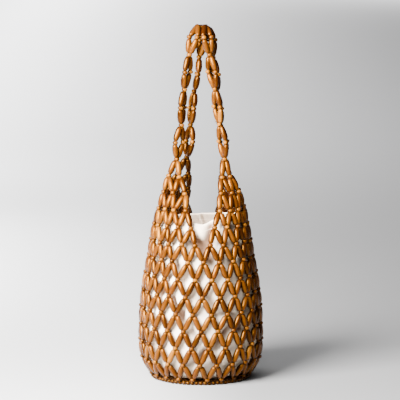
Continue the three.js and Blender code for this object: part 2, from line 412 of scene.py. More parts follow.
def mesh_from(name: str, points: Floats, corners: Floats, sizes: Floats) -> Mesh:
    """Mesh from arrays, shaded smooth.

    Args:
        name: Name of the mesh.
        points: Places in metres.
        corners: Point numbers of every face in turn.
        sizes: Corners of each face.

    Returns:
        The mesh.
    """
    mesh = bpy.data.meshes.new(name)
    mesh.vertices.add(len(points))
    mesh.vertices.foreach_set("co", points.astype(np.float32).ravel())
    mesh.loops.add(len(corners))
    mesh.loops.foreach_set("vertex_index", corners.astype(np.int32))
    mesh.polygons.add(len(sizes))
    starts = np.concatenate([[0], np.cumsum(sizes)[:-1]])
    mesh.polygons.foreach_set("loop_start", starts.astype(np.int32))
    mesh.polygons.foreach_set("use_smooth", np.ones(len(sizes), dtype=bool))
    mesh.update(calc_edges=True)
    return mesh


def shown(name: str, mesh: Mesh) -> Piece:
    """Object of a mesh, placed in the scene."""
    piece = bpy.data.objects.new(name, mesh)
    bpy.context.scene.collection.objects.link(piece)
    return piece


def write(mesh: Mesh, name: str, values: Floats, domain: str = "POINT") -> None:
    """Store numbers or vectors on a mesh for its finish.

    Args:
        mesh: The mesh.
        name: What they are called.
        values: One row for each point or corner.
        domain: Blender's name of what they belong to.
    """
    kind, key = ("FLOAT_VECTOR", "vector") if values.ndim > 1 else ("FLOAT", "value")
    mesh.attributes.new(name, kind, domain).data.foreach_set(key, values.astype(np.float32).ravel())


@dataclass(frozen=True)
class Blank:
    """One bead or length of cord in its own frame, along Z, ready to be repeated.

    Attributes:
        points: Places in millimetres.
        edges: How near each point is to an end, from 0 in the middle to 1.
        corners: Point numbers of every face in turn.
        sizes: Corners of each face.
    """

    points: Floats
    edges: Floats
    corners: Floats
    sizes: Floats

    @classmethod
    def turned(cls, section: Sequence[tuple[float, float]], sides: int) -> "Blank":
        """Turn a section about Z.

        Args:
            section: Height and radius from the low end to the high end.
            sides: Steps round.

        Returns:
            The closed blank.
        """
        heights, radii = np.array(section, dtype=float).T
        turn = np.arange(sides) * 2.0 * math.pi / sides
        points = np.empty((len(heights), sides, 3))
        points[:, :, 0] = radii[:, None] * np.cos(turn)
        points[:, :, 1] = radii[:, None] * np.sin(turn)
        points[:, :, 2] = heights[:, None]
        edges = np.repeat(np.abs(heights) / np.abs(heights).max(), sides)
        return cls(points.reshape(-1, 3), edges, *tube_faces(len(heights), sides))


# Ends of every bead, in millimetres, and how round they are
END_FACE = 0.15
TIP_ROUND = 0.72
RIM_INSET = 0.25
RIM_LEAST = 0.15
BORE_DEPTH = 1.3
BORE_EDGE = 0.1


@dataclass(frozen=True)
class BeadShape:
    """One kind of turned bead, in millimetres.

    Attributes:
        length: From end to end.
        width: Across its belly.
        end_width: Across its ends before they are rounded.
        tip: Length of each rounded end.
        hole: Across the drilled hole.
        belly: How long its belly stays wide.
        fall: How sharply it narrows to its ends.
        sides: Steps round.
        levels: Steps along.
    """

    length: float
    width: float
    end_width: float
    tip: float
    hole: float
    belly: float
    fall: float
    sides: int
    levels: int

    def blank(self) -> Blank:
        """The bead with its rounded and drilled ends."""
        half = self.length / 2.0
        shoulder = half - END_FACE
        steps = np.sin(np.linspace(-0.5, 0.5, self.levels) * math.pi)
        rise = (1.0 - np.abs(steps) ** self.belly) ** self.fall
        radii = self.end_width / 2.0 + (self.width - self.end_width) / 2.0 * rise
        near = np.clip(1.0 - (1.0 - np.abs(steps)) * shoulder / self.tip, 0.0, 1.0)
        radii = radii * np.sqrt(1.0 - TIP_ROUND * near ** 2)
        body = [(float(step) * shoulder, float(radius)) for step, radius in zip(steps, radii)]
        bore = self.hole / 2.0
        rim = max(float(radii[0]) - RIM_INSET, bore + RIM_LEAST)
        low = [(-half + BORE_DEPTH, bore), (-half + BORE_EDGE, bore), (-half, rim)]
        high = [(half, rim), (half - BORE_EDGE, bore), (half - BORE_DEPTH, bore)]
        return Blank.turned([*low, *body, *high], self.sides)


LONG_BEAD = BeadShape(23.0, 10.0, 6.2, 1.9, 1.6, 2.2, 0.85, 14, 13)
SMALL_BEAD = BeadShape(6.3, 9.0, 5.6, 1.3, 1.8, 2.2, 0.55, 14, 9)
ROUND_BEAD = BeadShape(6.5, 6.6, 2.8, 0.6, 1.4, 2.0, 0.56, 14, 8)
MAT_BEAD = BeadShape(6.5, 6.3, 2.8, 0.6, 1.4, 2.0, 0.56, 10, 6)
CORD_STEP = Blank.turned([(-0.5, 1.15), (0.5, 1.15)], 6)

UPWARD = np.array([0.0, 0.0, 1.0])
# A direction that no strand follows, the spread of places in the grain and that of the tones
STRAY = np.array([0.31, -0.86, 0.41])
GRAIN_SPREAD = 400.0
TONE_SPREAD = 0.7


class Layer(Enum):
    """Finishes of a strung piece, in the order of its material slots."""

    WOOD = 0
    CORD = 1


class Stringing:
    """Many beads and lengths of cord gathered into one mesh."""

    def __init__(self, seed: int) -> None:
        """Start with nothing strung.

        Args:
            seed: Start of the piece's own row of chance numbers.
        """
        self.chance = np.random.default_rng(seed)
        self.parts: defaultdict[str, list[Floats]] = defaultdict(list)
        self.count = 0

    def add(self, blank: Blank, start: Floats, end: Floats, stretch: float, tone: float, layer: Layer,
            outward: Floats = UPWARD) -> None:
        """String one blank on the line between two places.

        Args:
            blank: The bead or cord.
            start: Place of its line's low end.
            end: Place of its line's high end.
            stretch: Scale of the blank along the line.
            tone: Lightness of its wood about 0.
            layer: Its finish.
            outward: Direction that its seen side faces.
        """
        along = unit(end - start)
        aside = unit(np.cross(along, STRAY))
        roll = self.chance.uniform(0.0, 2.0 * math.pi)
        first = aside * math.cos(roll) + np.cross(along, aside) * math.sin(roll)
        axes = np.stack([first, np.cross(along, first), along])
        local = blank.points * np.array([1.0, 1.0, stretch])
        round_way = local[:, :2] / np.linalg.norm(local[:, :2], axis=1, keepdims=True)
        added = {
            "point": (start + end) / 2.0 + local @ axes,
            "grain": local + self.chance.uniform(0.0, GRAIN_SPREAD, 3),
            "tone": np.full(len(local), tone + TONE_SPREAD * self.chance.normal()),
            "edge": blank.edges,
            # Mask of the painted side shade: 0 where the bead faces the bag's outside, 1 where it faces in.
            "side": 0.5 - 0.5 * (round_way @ axes[:2]) @ outward,
            "corner": blank.corners + self.count,
            "size": blank.sizes,
            "layer": np.full(len(blank.sizes), layer.value),
        }
        for key, values in added.items():
            self.parts[key].append(values)
        self.count += len(local)

    def cord(self, start: Floats, end: Floats) -> None:
        """Add a straight length of cord."""
        self.add(CORD_STEP, start, end, float(np.linalg.norm(end - start)), 0.0, Layer.CORD)

    def piece(self, name: str, finishes: Sequence[Material]) -> Piece:
        """Make the piece.

        Args:
            name: Name of the piece.
            finishes: Materials in the order of the layers.

        Returns:
            The object, in metres.
        """
        whole = {key: np.concatenate(values) for key, values in self.parts.items()}
        mesh = mesh_from(name, whole["point"] * MM, whole["corner"], whole["size"])
        mesh.polygons.foreach_set("material_index", whole["layer"].astype(np.int32))
        for key in ("grain", "tone", "edge", "side"):
            write(mesh, key, whole[key])
        for finish in finishes:
            mesh.materials.append(finish)
        return shown(name, mesh)


# The net as junctions and strands, in millimetres


SMALL_TONES: dict[str, float] = {"net": 0.45, "shoulder": 0.95, "handle": 1.35}


class Owner(Enum):
    """Solid that a junction or a strand belongs to."""

    NET_FRONT = "net_front"
    NET_BACK = "net_back"
    SHOULDER_FRONT_RIGHT = "shoulder_front_right"
    SHOULDER_BACK_RIGHT = "shoulder_back_right"
    SHOULDER_BACK_LEFT = "shoulder_back_left"
    SHOULDER_FRONT_LEFT = "shoulder_front_left"
    HANDLE_FRONT = "handle_front"
    HANDLE_BACK = "handle_back"

    @property
    def small_tone(self) -> float:
        """How much lighter its small beads are than its long ones."""
        return SMALL_TONES[self.value.split("_")[0]]


@dataclass(frozen=True)
class RingRow:
    """One row of junctions round the bag.

    Attributes:
        height: Above the floor.
        half_width: Half of its size from side to side.
        half_depth: Half of its size from front to back.
        turn: Turn about the axis in degrees.
        drift: How far its columns drift from front and back to the sides, in degrees.
    """

    height: float
    half_width: float
    half_depth: float
    turn: float
    drift: float


@dataclass(frozen=True)
class Station:
    """One level of a handle.

    Attributes:
        x: Middle, to the right.
        y: Middle, to the back.
        z: Middle, above the floor.
        spread: Half of the distance between its two junctions, or 0 for one junction.
        turn: Turn of the pair in degrees.
    """

    x: float
    y: float
    z: float
    spread: float
    turn: float


@dataclass(frozen=True)
class Shoulder:
    """One triangular shoulder panel.

    Attributes:
        owner: Solid that it is.
        start: Angle that its fans are measured from in degrees, front 0 and back 180.
        sense: Sense of their angles from there.
        first: Junction of the last full row that it starts from.
        fans: Its rows from the widest up: angle of the middle and step between junctions, in degrees.
    """

    owner: Owner
    start: float
    sense: float
    first: int
    fans: tuple[tuple[float, float], ...]


# Rows of junctions from the top of the shoulders down to the base
ROWS: tuple[RingRow, ...] = tuple(RingRow(*row) for row in (
    (352.8, 53.7, 15.0, 0.0, 0.0),
    (325.1, 58.0, 26.0, 0.0, 0.0),
    (300.7, 64.0, 40.0, 0.0, 0.0),
    (274.5, 69.0, 53.0, 0.0, 0.0),
    (249.5, 73.5, 64.5, 0.0, 0.0),
    (223.5, 78.0, 75.0, 2.6, 1.0),
    (197.5, 82.0, 82.0, 2.6, 2.6),
    (170.5, 87.2, 87.2, 2.5, 2.6),
    (143.1, 91.7, 91.7, 1.8, 1.8),
    (115.8, 94.5, 94.5, 1.0, 0.8),
    (88.7, 95.8, 95.8, -0.4, 0.0),
    (61.5, 96.2, 96.2, -0.6, 0.0),
    (35.0, 94.0, 94.0, -1.3, 0.0),
    (9.6, 80.4, 80.4, -1.1, 0.0),
))

SHOULDERS: tuple[Shoulder, ...] = (
    Shoulder(Owner.SHOULDER_FRONT_RIGHT, 0.0, 1.0, 0,
             ((50.8, 16.6), (50.5, 16.8), (49.0, 18.2), (43.0, 18.0), (44.4, 0.0))),
    Shoulder(Owner.SHOULDER_BACK_RIGHT, 180.0, -1.0, 5,
             ((53.7, 16.1), (54.9, 16.9), (49.0, 18.5), (43.6, 17.8), (44.4, 0.0))),
    Shoulder(Owner.SHOULDER_BACK_LEFT, 180.0, 1.0, 11,
             ((45.4, 16.2), (43.3, 15.6), (34.7, 16.8), (30.4, 19.2), (24.9, 0.0))),
    Shoulder(Owner.SHOULDER_FRONT_LEFT, 0.0, -1.0, 16,
             ((46.5, 17.6), (45.6, 17.6), (43.6, 21.5), (48.6, 25.6), (45.2, 0.0))),
)

FRONT_STATIONS: tuple[Station, ...] = tuple(Station(*row) for row in (
    (-35.0, -9.5, 379.5, 8.5, 45.0), (-31.4, -9.0, 407.0, 0.0, 0.0),
    (-30.0, -9.0, 435.0, 7.0, 66.0), (-26.7, -8.5, 463.5, 0.0, 0.0),
    (-21.5, -8.0, 491.5, 7.0, 53.0), (-18.4, -7.0, 519.0, 0.0, 0.0),
    (-11.6, -6.5, 546.5, 7.0, -30.0), (1.5, 12.0, 564.5, 0.0, 0.0),
    (10.2, -9.0, 546.5, 7.0, 30.0), (14.0, -6.0, 519.0, 0.0, 0.0),
    (17.8, -7.0, 492.0, 7.5, -38.0), (23.0, -8.0, 464.5, 0.0, 0.0),
    (26.5, -8.5, 436.5, 7.2, -48.0), (30.5, -9.0, 408.5, 0.0, 0.0),
    (35.0, -9.5, 380.5, 8.5, -52.0),
))

BACK_STATIONS: tuple[Station, ...] = tuple(Station(*row) for row in (
    (-17.7, 10.0, 379.0, 8.5, -52.0), (-16.0, 9.0, 405.5, 0.0, 0.0),
    (-13.8, 9.0, 432.5, 7.0, -62.0), (-10.0, 9.0, 459.5, 0.0, 0.0),
    (-4.5, 9.0, 487.0, 7.0, -84.0), (-2.0, 8.5, 514.0, 0.0, 0.0),
    (3.5, 5.5, 541.0, 6.8, -50.0), (7.8, 27.5, 559.5, 0.0, 0.0),
    (18.5, 10.5, 540.5, 6.8, 60.0), (18.8, 9.0, 513.0, 0.0, 0.0),
    (21.5, 9.0, 485.5, 7.2, 36.0), (25.0, 9.0, 458.0, 0.0, 0.0),
    (28.0, 9.5, 431.0, 7.0, 50.0), (31.0, 10.0, 404.5, 0.0, 0.0),
    (35.5, 12.0, 378.5, 8.5, 50.0),
))


def unevenness(first: float, second: float) -> float:
    """Even spread of a number pair between -1 and 1, for the small unevenness of a hand-strung net."""
    wave = math.sin(first * 12.9898 + second * 78.233) * 43758.5453
    return 2.0 * (wave - math.floor(wave)) - 1.0


@dataclass
class Junction:
    """A place where strands cross on one small bead.

    Attributes:
        owner: Solid that it belongs to.
        place: Where it is.
        outward: Level direction out of the bag.
        pinned: Whether it keeps its place while the net settles.
        crown: Whether it is the top of a handle, where the strands leave to the left and to the right.
    """

    owner: Owner
    place: list[float]
    outward: Floats
    pinned: bool
    crown: bool = False


@dataclass
class BeadNet:
    """The whole net: body, shoulders and handles."""

    columns: int = 22
    taut: float = 31.0
    slack: float = 27.2
    nudge_round: float = 1.5
    nudge_up: float = 1.0
    rounds: int = 160
    base_row: int = 13
    last_full_row: int = 5
    junctions: list[Junction] = field(default_factory=list)
    strands: list[tuple[int, int]] = field(default_factory=list)
    names: dict[str, int] = field(default_factory=dict)

    def string(self) -> None:
        """String the body and the shoulders, let them settle, and add the handles."""
        self.add_body()
        self.add_shoulders()
        self.settle()
        self.add_handle(Owner.HANDLE_FRONT, FRONT_STATIONS, 3, 0)
        self.add_handle(Owner.HANDLE_BACK, BACK_STATIONS, 2, 1)

    def column_angle(self, row: int, column: float) -> float:
        """Angle of a column of a full row from the middle of the front, in radians."""
        even = column * 2.0 * math.pi / self.columns
        return even + math.radians(ROWS[row].turn + ROWS[row].drift * math.sin(2.0 * even))

    def shoulder_angle(self, shoulder: Shoulder, row: int, index: int) -> float:
        """Angle of a shoulder's junction from the middle of the front, in radians.

        Args:
            shoulder: The shoulder.
            row: Number of the row.
            index: Place in the row, in order round the bag.

        Returns:
            The angle, to the right.
        """
        middle, step = shoulder.fans[self.last_full_row - 1 - row]
        return math.radians(shoulder.start + shoulder.sense * middle + (index - row / 2.0) * step)

    def place(self, row: int, angle: float, column: float, uneven: float) -> list[float]:
        """Where a junction of a row lies before the net settles.

        Args:
            row: Number of the row.
            angle: From the middle of the front, in radians.
            column: Number that its unevenness comes from.
            uneven: 1 for a hand-strung place, 0 for an exact one.

        Returns:
            The place.
        """
        ring = ROWS[row]
        nudged = angle + uneven * self.nudge_round * unevenness(row, column) / ring.half_width
        height = ring.height + uneven * self.nudge_up * unevenness(column, row + 40)
        return [ring.half_width * math.sin(nudged), -ring.half_depth * math.cos(nudged), height]

    def outward(self, row: int, angle: float) -> Floats:
        """Level direction out of the bag at an angle of a row."""
        ring = ROWS[row]
        return unit(np.array([math.sin(angle) / ring.half_width, -math.cos(angle) / ring.half_depth, 0.0]))

    def half_of(self, column: float) -> Owner:
        """Half of the net that a column belongs to."""
        turned = (column + self.columns) % self.columns
        front = turned <= self.columns / 4 or turned >= 3 * self.columns / 4
        return Owner.NET_FRONT if front else Owner.NET_BACK

    def knot(self, name: str, junction: Junction) -> None:
        """Add a junction under a name."""
        self.names[name] = len(self.junctions)
        self.junctions.append(junction)

    def strand(self, first: str, second: str) -> None:
        """Add a strand between two named junctions."""
        self.strands.append((self.names[first], self.names[second]))

    def add_body(self) -> None:
        """Add the full rows from the base up, and the strands between them."""
        for row in range(self.base_row, self.last_full_row - 1, -1):
            lean = 0.5 if row % 2 else 0.0
            base = row == self.base_row
            for index in range(self.columns):
                column = index + lean
                angle = self.column_angle(row, column)
                place = self.place(row, angle, column, 0.0 if base else 1.0)
                outward = self.outward(row, angle)
                self.knot(f"{row}:{index}", Junction(self.half_of(column), place, outward, base))
            if base:
                continue
            for index in range(self.columns):
                other = (index + (1 if lean else self.columns - 1)) % self.columns
                self.strand(f"{row + 1}:{index}", f"{row}:{index}")
                self.strand(f"{row + 1}:{other}", f"{row}:{index}")

    def add_shoulders(self) -> None:
        """Add the four shoulders, each narrowing to one junction."""
        for number, shoulder in enumerate(SHOULDERS):
            for row in range(self.last_full_row - 1, -1, -1):
                for index in range(row + 1):
                    angle = self.shoulder_angle(shoulder, row, index)
                    place = self.place(row, angle, 6 * number + index, 1.0 if row else 0.0)
                    name = f"{row}:{number}:{index}"
                    self.knot(name, Junction(shoulder.owner, place, self.outward(row, angle), row == 0))
                    for below in (index, index + 1):
                        full = row == self.last_full_row - 1
                        ring_name = f"{self.last_full_row}:{shoulder.first + below}"
                        self.strand(ring_name if full else f"{row + 1}:{number}:{below}", name)

    def settle(self) -> None:
        """Bring every strand between its slack and its taut length."""
        for _ in range(self.rounds):
            for first, second in self.strands:
                low, high = self.junctions[first], self.junctions[second]
                apart = [b - a for a, b in zip(low.place, high.place)]
                length = math.sqrt(apart[0] ** 2 + apart[1] ** 2 + apart[2] ** 2)
                wanted = min(max(length, self.slack), self.taut)
                move = 0.5 * (1.0 if low.pinned or high.pinned else 0.5) * (1.0 - wanted / length)
                if not low.pinned:
                    low.place = [a + move * d for a, d in zip(low.place, apart)]
                if not high.pinned:
                    high.place = [b - move * d for b, d in zip(high.place, apart)]

    def add_handle(self, owner: Owner, stations: Sequence[Station], left: int, right: int) -> None:
        """Add one handle from its left shoulder to its right one.

        Args:
            owner: Solid of the handle.
            stations: Levels in order.
            left: Number of the shoulder that it starts from.
            right: Number of the shoulder that it ends at.
        """
        before = [f"0:{left}:0"]
        top = len(stations) // 2
        for number, at in enumerate(stations):
            near = [stations[min(max(number + step, 0), len(stations) - 1)].turn for step in (-1, 1)]
            facing = math.radians(at.turn if at.spread else sum(near) / 2.0)
            outward = np.array([math.sin(facing), -math.cos(facing), 0.0])
            across = np.array([math.cos(facing), math.sin(facing), 0.0])
            here = []
            for side in (-1, 1) if at.spread else (0,):
                place = np.array([at.x, at.y, at.z]) + across * side * at.spread
                here.append(f"{owner.value}:{number}:{side}")
                self.knot(here[-1], Junction(owner, place.tolist(), outward, True, number == top))
            for low in before:
                for high in here:
                    self.strand(low, high)
            before = here
        for low in before:
            self.strand(low, f"0:{right}:0")


@dataclass
class NetLayout:
    """Where the beads and cords of the net lie, from its junctions and strands.

    Attributes:
        net: The settled net.
        lead: From a junction to the ends of the long beads, along the junction's own line.
        apart: Half of the distance between two long beads that leave a junction on one side.
        crown_lead: The same as lead at the top of a handle.
        ends: Place of each long bead's end, by strand and side.
        lines: Direction of each junction's small bead.
    """

    net: BeadNet
    lead: float = 2.35
    apart: float = 2.3
    crown_lead: float = 5.2
    ends: dict[BeadEnd, Floats] = field(default_factory=dict)
    lines: list[Floats] = field(default_factory=list)

    def lay(self) -> None:
        """Work out every bead's end and every junction's line."""
        meeting: list[list[BeadEnd]] = [[] for _ in self.net.junctions]
        for number, pair in enumerate(self.net.strands):
            for side in (0, 1):
                meeting[pair[side]].append((number, side))
        for index, ends in enumerate(meeting):
            self.lines.append(self.lay_junction(index, ends))

    def toward(self, number: int, side: int) -> Floats:
        """Direction in which a strand leaves its junction."""
        pair = self.net.strands[number]
        here, there = (np.array(self.net.junctions[pair[step]].place) for step in (side, 1 - side))
        return unit(there - here)

    def lay_junction(self, index: int, ends: Sequence[BeadEnd]) -> Floats:
        """Place the bead ends round one junction.

        Args:
            index: Number of the junction.
            ends: Strand numbers and sides that meet there.

        Returns:
            Direction of the junction's small bead.
        """
        junction = self.net.junctions[index]
        ways = {end: self.toward(*end) for end in ends}
        across = 0 if junction.crown else 2
        groups = [[end for end in ends if bool(ways[end][across] > 0.0) is state] for state in (True, False)]
        means = [unit(sum(ways[end] for end in group)) if group else np.zeros(3) for group in groups]
        line = unit(means[0] - means[1])
        for group, sign in zip(groups, (1.0, -1.0)):
            root = np.array(junction.place) + line * sign * (self.crown_lead if junction.crown else self.lead)
            for end in group:
                self.ends[end] = root + self.aside(group, end, ways, line)
        return line

    def aside(self, group: Sequence[BeadEnd], end: BeadEnd,
              ways: dict[BeadEnd, Floats], line: Floats) -> Floats:
        """Sideways step of a bead's end from the line of its junction.

        Args:
            group: Ends that leave on the same side.
            end: This end.
            ways: Direction of each end's strand.
            line: Direction of the junction's small bead.

        Returns:
            The step, or nothing where the end is alone.
        """
        others = [other for other in group if other != end]
        if not others:
            return np.zeros(3)
        spread = ways[end] - ways[others[0]]
        spread = spread - line * spread.dot(line)
        return unit(spread) * self.apart


@dataclass
class StrungPiece:
    """One solid of the net dressed as its beads and cords.

    Attributes:
        layout: Where everything lies.
        owner: Solid that the piece stands for.
        seed: Start of its chance numbers.
        gap: Air left at each end of a long bead.
        proud: How far the small beads stand out of the net.
        split: From a junction to where its cords part.
        tuck: How far a cord reaches into a long bead.
        crown_drop: How far the small bead hangs at the top of a handle.
        foot_inset: How far inside the lowest junctions their cords end.
        foot_height: Above the floor, where they end.
    """

    layout: NetLayout
    owner: Owner
    seed: int
    gap: float = 0.05
    proud: float = 0.8
    split: float = 5.4
    tuck: float = 1.2
    crown_drop: float = 5.0
    foot_inset: float = 2.1
    foot_height: float = 3.3

    def build(self, wood: Material, cord: Material) -> Piece:
        """Make the piece and hang it on the bag.

        Args:
            wood: Finish of the beads.
            cord: Finish of the cord.

        Returns:
            The piece.
        """
        strung = Stringing(self.seed)
        long_blank, small_blank = LONG_BEAD.blank(), SMALL_BEAD.blank()
        net = self.layout.net
        for number, pair in enumerate(net.strands):
            if net.junctions[pair[0]].owner is not self.owner:
                continue
            low, high = (self.layout.ends[(number, side)] for side in (0, 1))
            length = float(np.linalg.norm(high - low)) - 2.0 * self.gap
            outward = unit(net.junctions[pair[0]].outward + net.junctions[pair[1]].outward)
            strung.add(long_blank, low, high, length / LONG_BEAD.length, 0.0, Layer.WOOD, outward)
            for side, end in ((0, low), (1, high)):
                inward = unit((low + high) / 2.0 - end)
                strung.cord(np.array(net.junctions[pair[side]].place), end + inward * self.tuck)
        for index, junction in enumerate(net.junctions):
            if junction.owner is not self.owner:
                continue
            place, line = np.array(junction.place), self.layout.lines[index]
            step = UPWARD * -self.crown_drop if junction.crown else junction.outward * self.proud
            low, high = place + step - line, place + step + line
            strung.add(small_blank, low, high, 1.0, self.owner.small_tone, Layer.WOOD, junction.outward)
            strung.cord(place - line * self.split, place + line * self.split)
            if index < net.columns:
                foot = place - junction.outward * self.foot_inset
                strung.cord(place, np.array([foot[0], foot[1], self.foot_height]))
        piece = strung.piece(f"{self.owner.value}_beads", (wood, cord))
        return hung(piece, Slot.WOOD, self.owner.value)


def hung(piece: Piece, slot: Slot, *nodes: str) -> Piece:
    """Make a piece ride on the bag and stand for its solids.

    Args:
        piece: The piece.
        slot: Slot of the record that gives its finish; not used.
        nodes: Names of the solids that it stands for.

    Returns:
        The piece.
    """
    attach(piece, "root")
    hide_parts(*nodes)
    return piece


@dataclass
class BaseBeads:
    """The ring of round beads that the bag stands on, and the mat of beads inside it."""

    ring_radius: float = 78.3
    ring_count: int = 72
    ring_height: float = 3.3
    mat_radius: float = 71.3
    mat_pitch: float = 6.78
    mat_height: float = 3.2
    fewest: int = 6
    tone: float = -1.1
    ring_seed: int = 41
    mat_seed: int = 42

    def circle(self, strung: Stringing, blank: Blank, radius: float, count: int, height: float) -> None:
        """String beads and their cord round one circle.

        Args:
            strung: Piece that they join.
            blank: The bead.
            radius: Of the circle.
            count: Beads on it.
            height: Of their middles above the floor.
        """
        for number in range(count):
            angle = 2.0 * math.pi * number / count
            place = np.array([radius * math.cos(angle), radius * math.sin(angle), height])
            along = np.array([-math.sin(angle), math.cos(angle), 0.0])
            strung.add(blank, place - along, place + along, 1.0, self.tone, Layer.WOOD, place / radius)
            step = along * math.pi * radius / count
            strung.cord(place - step, place + step)

    def build_ring(self, wood: Material, cord: Material) -> Piece:
        """The ring of beads."""
        strung = Stringing(self.ring_seed)
        self.circle(strung, ROUND_BEAD.blank(), self.ring_radius, self.ring_count, self.ring_height)
        return hung(strung.piece("base_ring_beads", (wood, cord)), Slot.WOOD, "base_ring")

    def build_mat(self, wood: Material, cord: Material) -> Piece:
        """The mat of bead circles from the ring inward, one bead in its middle."""
        strung = Stringing(self.mat_seed)
        blank = MAT_BEAD.blank()
        radius = self.mat_radius
        while radius > self.mat_pitch * 0.6:
            count = max(self.fewest, int(2.0 * math.pi * radius / self.mat_pitch))
            self.circle(strung, blank, radius, count, self.mat_height)
            radius -= self.mat_pitch
        centre = np.array([0.0, 0.0, self.mat_height])
        strung.add(blank, centre - UPWARD, centre + UPWARD, 0.95, self.tone, Layer.WOOD)
        return hung(strung.piece("base_mat_beads", (wood, cord)), Slot.WOOD, "base_mat")


# Liner


@dataclass(frozen=True)
class Crease:
    """One fold of the cloth.

    Attributes:
        turn: Place round the liner in degrees, 0 at the front and 90 at the right.
        height: Above the floor.
        lean: Direction of the fold in degrees, 0 level and 90 upright.
        length: From end to end.
        width: Of its valley.
        depth: Of its valley, into the bag.
        ridge: Height of the fold beside the valley, as a share of the depth.
    """

    turn: float
    height: float
    lean: float
    length: float
    width: float
    depth: float
    ridge: float = 0.55


# Levels of the outer face from the floor up: height, half width and half depth
LINER_RINGS: tuple[tuple[float, float, float], ...] = (
    (6.8, 60.0, 60.0), (11.0, 69.5, 69.5), (35.0, 85.6, 85.6),
    (61.5, 89.4, 89.4), (88.7, 89.4, 89.4), (143.1, 84.8, 84.8),
    (195.0, 75.4, 75.4), (222.0, 70.0, 67.0), (255.5, 65.0, 56.0),
)

# Rise of the rim by its place round the mouth in degrees
RIM_LIFTS: tuple[tuple[float, float], ...] = (
    (-150.0, 0.6), (-110.0, -1.5), (-70.0, -2.5), (-40.0, 0.0), (-22.0, 2.0),
    (-12.0, 1.2), (4.0, -2.6), (14.0, 1.2), (24.0, 5.5), (34.0, 8.0),
    (60.0, 9.0), (100.0, 8.0), (130.0, 5.0), (160.0, 2.0), (180.0, 1.0),
)

# Folds that are seen; their depth also sets the painted shade in the cloth's colour.
SEEN_CREASES: tuple[Crease, ...] = (
    Crease(0.0, 246.0, 90.0, 80.0, 22.0, 2.2, 0.0),
    Crease(16.0, 238.0, 80.0, 90.0, 15.0, 8.0, 0.0),
    Crease(44.0, 232.0, 84.0, 120.0, 24.0, 5.0, 0.0),
    Crease(1.0, 222.0, 4.0, 52.0, 13.0, 9.0, 0.0),
    Crease(-173.0, 244.0, 80.0, 70.0, 20.0, 4.5, 0.0),
    Crease(-9.0, 192.0, 1.0, 46.0, 3.0, 2.6),
    Crease(-30.0, 214.0, 48.0, 58.0, 5.0, 2.2),
    Crease(-44.0, 190.0, 40.0, 62.0, 5.5, 2.4),
    Crease(22.0, 186.0, -24.0, 40.0, 4.5, 1.8),
    Crease(5.0, 214.0, 20.0, 30.0, 4.0, 1.4),
    Crease(-22.0, 166.0, 42.0, 60.0, 5.5, 2.0),
    Crease(178.0, 243.0, 66.0, 26.0, 2.2, 3.2),
)


